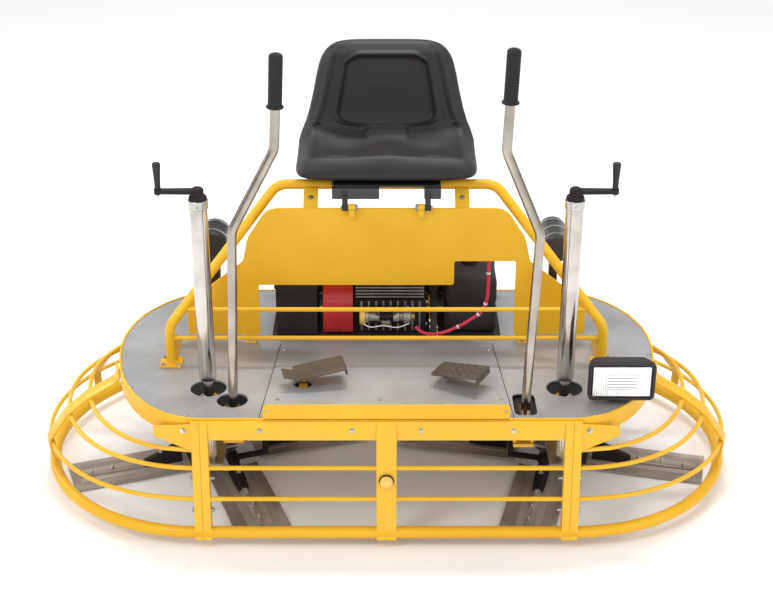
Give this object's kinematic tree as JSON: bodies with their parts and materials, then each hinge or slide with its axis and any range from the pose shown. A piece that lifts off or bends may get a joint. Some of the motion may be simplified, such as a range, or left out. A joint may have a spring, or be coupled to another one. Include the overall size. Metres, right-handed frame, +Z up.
{
  "type": "power trowel",
  "caption": "Ride-on concrete power trowel with two bladed rotors under a caged deck, a tilting seat, steering levers and blade-pitch cranks.",
  "frame": {"origin": "on the floor under the middle of the guard ring", "axes": "+Z up, +X to the right of someone facing the front, -Y towards the front where the operator's feet are"},
  "size_m": [1.974, 1, 1.333],
  "materials": {
    "yellow_paint": "glossy yellow enamel",
    "deck_plate": "satin grey plate",
    "knob_plastic": "pale yellow cap",
    "black_paint": "satin black paint",
    "seat_vinyl": "satin black moulded vinyl over foam",
    "cast_alloy": "rough cast",
    "red_paint": "glossy red",
    "black_plastic": "moulded black",
    "red_cable": "red insulation",
    "machined_steel": "machined",
    "belt_rubber": "matt black",
    "lens_glass": "clear fluted",
    "dark_casting": "dark casting",
    "polished_steel": "polished tube",
    "grip_rubber": "black rubber",
    "blade_steel": "oiled dark steel"
  },
  "bodies": {
    "chassis": {"guard_left_end": "yellow_paint", "guard_right_end": "yellow_paint", "guard_front": "yellow_paint", "guard_rear": "yellow_paint", "main_frame": "yellow_paint", "front_panel": "yellow_paint", "arch_frame": "yellow_paint", "bumper_knob": "knob_plastic", "deck_floor": "deck_plate", "deck_cover": "deck_plate", "engine_block": "cast_alloy", "fan_housing": "red_paint", "carburettor": "cast_alloy", "air_cleaner": "black_plastic", "muffler": "black_paint", "battery_box": "black_plastic", "fuel_tank": "black_plastic", "battery_cable": "red_cable", "drive_belt": "belt_rubber", "lamp_bracket": "black_paint"},
    "seat": {"seat": "seat_vinyl", "seat_frame": "black_paint"},
    "headlight": {"lamp_housing": "black_plastic", "lamp_lens": "lens_glass"},
    "cross_shaft": {"drive_shaft": "machined_steel"},
    "lever_gimbal": {"lever_gimbal": "machined_steel"},
    "gearbox_left": {"gearbox_left": "cast_alloy", "crank_post_left": "polished_steel"},
    "crank_left": {"crank_left": "dark_casting"},
    "crank_handle_left": {"crank_handle_left": "black_plastic"},
    "rotor_left": {"spider_left": "dark_casting"},
    "pitch_collar_left": {"pitch_collar_left": "machined_steel"},
    "lever_left": {"lever_left": "polished_steel", "grip_left": "grip_rubber"},
    "pedal_left": {"pedal_left": "dark_casting"},
    "gearbox_right": {"gearbox_right": "cast_alloy", "crank_post_right": "polished_steel"},
    "crank_right": {"crank_right": "dark_casting"},
    "crank_handle_right": {"crank_handle_right": "black_plastic"},
    "rotor_right": {"spider_right": "dark_casting"},
    "pitch_collar_right": {"pitch_collar_right": "machined_steel"},
    "lever_right": {"lever_right": "polished_steel", "grip_right": "grip_rubber"},
    "pedal_right": {"pedal_right": "dark_casting"},
    "blade_arm_left_1": {"arm_left_1": "dark_casting", "blade_left_1": "blade_steel"},
    "blade_arm_left_2": {"arm_left_2": "dark_casting", "blade_left_2": "blade_steel"},
    "blade_arm_left_3": {"arm_left_3": "dark_casting", "blade_left_3": "blade_steel"},
    "blade_arm_left_4": {"arm_left_4": "dark_casting", "blade_left_4": "blade_steel"},
    "blade_arm_right_1": {"arm_right_1": "dark_casting", "blade_right_1": "blade_steel"},
    "blade_arm_right_2": {"arm_right_2": "dark_casting", "blade_right_2": "blade_steel"},
    "blade_arm_right_3": {"arm_right_3": "dark_casting", "blade_right_3": "blade_steel"},
    "blade_arm_right_4": {"arm_right_4": "dark_casting", "blade_right_4": "blade_steel"}
  },
  "joints": [
    {"name": "lever_left_fore_aft", "type": "hinge", "parent": "chassis", "child": "lever_gimbal", "pos_m": [-0.41, -0.35, 0.29], "axis": [1, 0, 0], "range_deg": [-10, 10]},
    {"name": "lever_left_sideways", "type": "hinge", "parent": "lever_gimbal", "child": "lever_left", "pos_m": [-0.41, -0.35, 0.29], "axis": [0, 1, 0], "range_deg": [-8, 8], "stiffness_Nm_per_rad": 60},
    {"name": "lever_right_fore_aft", "type": "hinge", "parent": "chassis", "child": "lever_right", "pos_m": [0.365, -0.372, 0.29], "axis": [1, 0, 0], "range_deg": [-10, 10]},
    {"name": "gearbox_left_tilt", "type": "hinge", "parent": "chassis", "child": "gearbox_left", "pos_m": [-0.485, 0, 0.2], "axis": [0, 1, 0], "range_deg": [-3, 3]},
    {"name": "gearbox_right_tilt", "type": "hinge", "parent": "chassis", "child": "gearbox_right", "pos_m": [0.485, 0, 0.2], "axis": [0, 1, 0], "range_deg": [-3, 3]},
    {"name": "rotor_left_spin", "type": "hinge", "parent": "gearbox_left", "child": "rotor_left", "pos_m": [-0.485, 0, 0.045], "axis": [0, 0, 1], "continuous": true},
    {"name": "rotor_right_spin", "type": "hinge", "parent": "gearbox_right", "child": "rotor_right", "pos_m": [0.485, 0, 0.045], "axis": [0, 0, 1], "continuous": true},
    {"name": "cross_shaft_spin", "type": "hinge", "parent": "chassis", "child": "cross_shaft", "pos_m": [0, 0, 0.2], "axis": [1, 0, 0], "continuous": true},
    {"name": "crank_left_turn", "type": "hinge", "parent": "gearbox_left", "child": "crank_left", "pos_m": [-0.48, -0.283, 0.9153], "axis": [0, 0, 1], "range_deg": [0, 1440]},
    {"name": "crank_handle_left_spin", "type": "hinge", "parent": "crank_left", "child": "crank_handle_left", "pos_m": [-0.58, -0.283, 0.9446], "axis": [0, 0, 1], "continuous": true},
    {"name": "crank_right_turn", "type": "hinge", "parent": "gearbox_right", "child": "crank_right", "pos_m": [0.48, -0.283, 0.9153], "axis": [0, 0, 1], "range_deg": [0, 1440]},
    {"name": "crank_handle_right_spin", "type": "hinge", "parent": "crank_right", "child": "crank_handle_right", "pos_m": [0.58, -0.283, 0.9446], "axis": [0, 0, 1], "continuous": true},
    {"name": "pitch_collar_left_slide", "type": "slide", "parent": "rotor_left", "child": "pitch_collar_left", "axis": [0, 0, -1], "range_m": [0, 0.0106]},
    {"name": "blade_left_1_pitch", "type": "hinge", "parent": "rotor_left", "child": "blade_arm_left_1", "pos_m": [-0.485, 0, 0.045], "axis": [-0.9397, -0.342, 0], "range_deg": [0, 24.5]},
    {"name": "blade_left_2_pitch", "type": "hinge", "parent": "rotor_left", "child": "blade_arm_left_2", "pos_m": [-0.485, 0, 0.045], "axis": [0.342, -0.9397, 0], "range_deg": [0, 24.5]},
    {"name": "blade_left_3_pitch", "type": "hinge", "parent": "rotor_left", "child": "blade_arm_left_3", "pos_m": [-0.485, 0, 0.045], "axis": [0.9397, 0.342, 0], "range_deg": [0, 24.5]},
    {"name": "blade_left_4_pitch", "type": "hinge", "parent": "rotor_left", "child": "blade_arm_left_4", "pos_m": [-0.485, 0, 0.045], "axis": [-0.342, 0.9397, 0], "range_deg": [0, 24.5]},
    {"name": "pitch_collar_right_slide", "type": "slide", "parent": "rotor_right", "child": "pitch_collar_right", "axis": [0, 0, -1], "range_m": [0, 0.0106]},
    {"name": "blade_right_1_pitch", "type": "hinge", "parent": "rotor_right", "child": "blade_arm_right_1", "pos_m": [0.485, 0, 0.045], "axis": [0.9703, -0.2419, 0], "range_deg": [0, 24.5]},
    {"name": "blade_right_2_pitch", "type": "hinge", "parent": "rotor_right", "child": "blade_arm_right_2", "pos_m": [0.485, 0, 0.045], "axis": [0.2419, 0.9703, 0], "range_deg": [0, 24.5]},
    {"name": "blade_right_3_pitch", "type": "hinge", "parent": "rotor_right", "child": "blade_arm_right_3", "pos_m": [0.485, 0, 0.045], "axis": [-0.9703, 0.2419, 0], "range_deg": [0, 24.5]},
    {"name": "blade_right_4_pitch", "type": "hinge", "parent": "rotor_right", "child": "blade_arm_right_4", "pos_m": [0.485, 0, 0.045], "axis": [-0.2419, -0.9703, 0], "range_deg": [0, 24.5]},
    {"name": "seat_tilt", "type": "hinge", "parent": "chassis", "child": "seat", "pos_m": [0, -0.01, 0.786], "axis": [1, 0, 0], "range_deg": [0, 75]},
    {"name": "pedal_left_press", "type": "hinge", "parent": "chassis", "child": "pedal_left", "pos_m": [-0.226, -0.262, 0.394], "axis": [-0.2079, 0.9781, 0], "range_deg": [0, 7], "stiffness_Nm_per_rad": 20, "springref_deg": -2.86},
    {"name": "pedal_right_press", "type": "hinge", "parent": "chassis", "child": "pedal_right", "pos_m": [0.158, -0.246, 0.394], "axis": [0.4695, 0.8829, 0], "range_deg": [0, 7], "stiffness_Nm_per_rad": 20, "springref_deg": -2.86},
    {"name": "headlight_tilt", "type": "hinge", "parent": "chassis", "child": "headlight", "pos_m": [0.625, -0.345, 0.392], "axis": [1, 0, 0], "range_deg": [-15, 15]}
  ],
  "couplings": [
    {"joint": "gearbox_left_tilt", "follows": "lever_left_fore_aft", "ratio": 0.3},
    {"joint": "gearbox_right_tilt", "follows": "lever_right_fore_aft", "ratio": -0.3},
    {"joint": "rotor_right_spin", "follows": "rotor_left_spin", "ratio": -1},
    {"joint": "cross_shaft_spin", "follows": "rotor_left_spin", "ratio": 20},
    {"joint": "pitch_collar_left_slide", "follows": "crank_left_turn", "m_per_rad": 0.000417},
    {"joint": "blade_left_1_pitch", "follows": "crank_left_turn", "ratio": 0.016667},
    {"joint": "blade_left_2_pitch", "follows": "crank_left_turn", "ratio": 0.016667},
    {"joint": "blade_left_3_pitch", "follows": "crank_left_turn", "ratio": 0.016667},
    {"joint": "blade_left_4_pitch", "follows": "crank_left_turn", "ratio": 0.016667},
    {"joint": "pitch_collar_right_slide", "follows": "crank_right_turn", "m_per_rad": 0.000417},
    {"joint": "blade_right_1_pitch", "follows": "crank_right_turn", "ratio": 0.016667},
    {"joint": "blade_right_2_pitch", "follows": "crank_right_turn", "ratio": 0.016667},
    {"joint": "blade_right_3_pitch", "follows": "crank_right_turn", "ratio": 0.016667},
    {"joint": "blade_right_4_pitch", "follows": "crank_right_turn", "ratio": 0.016667}
  ]
}
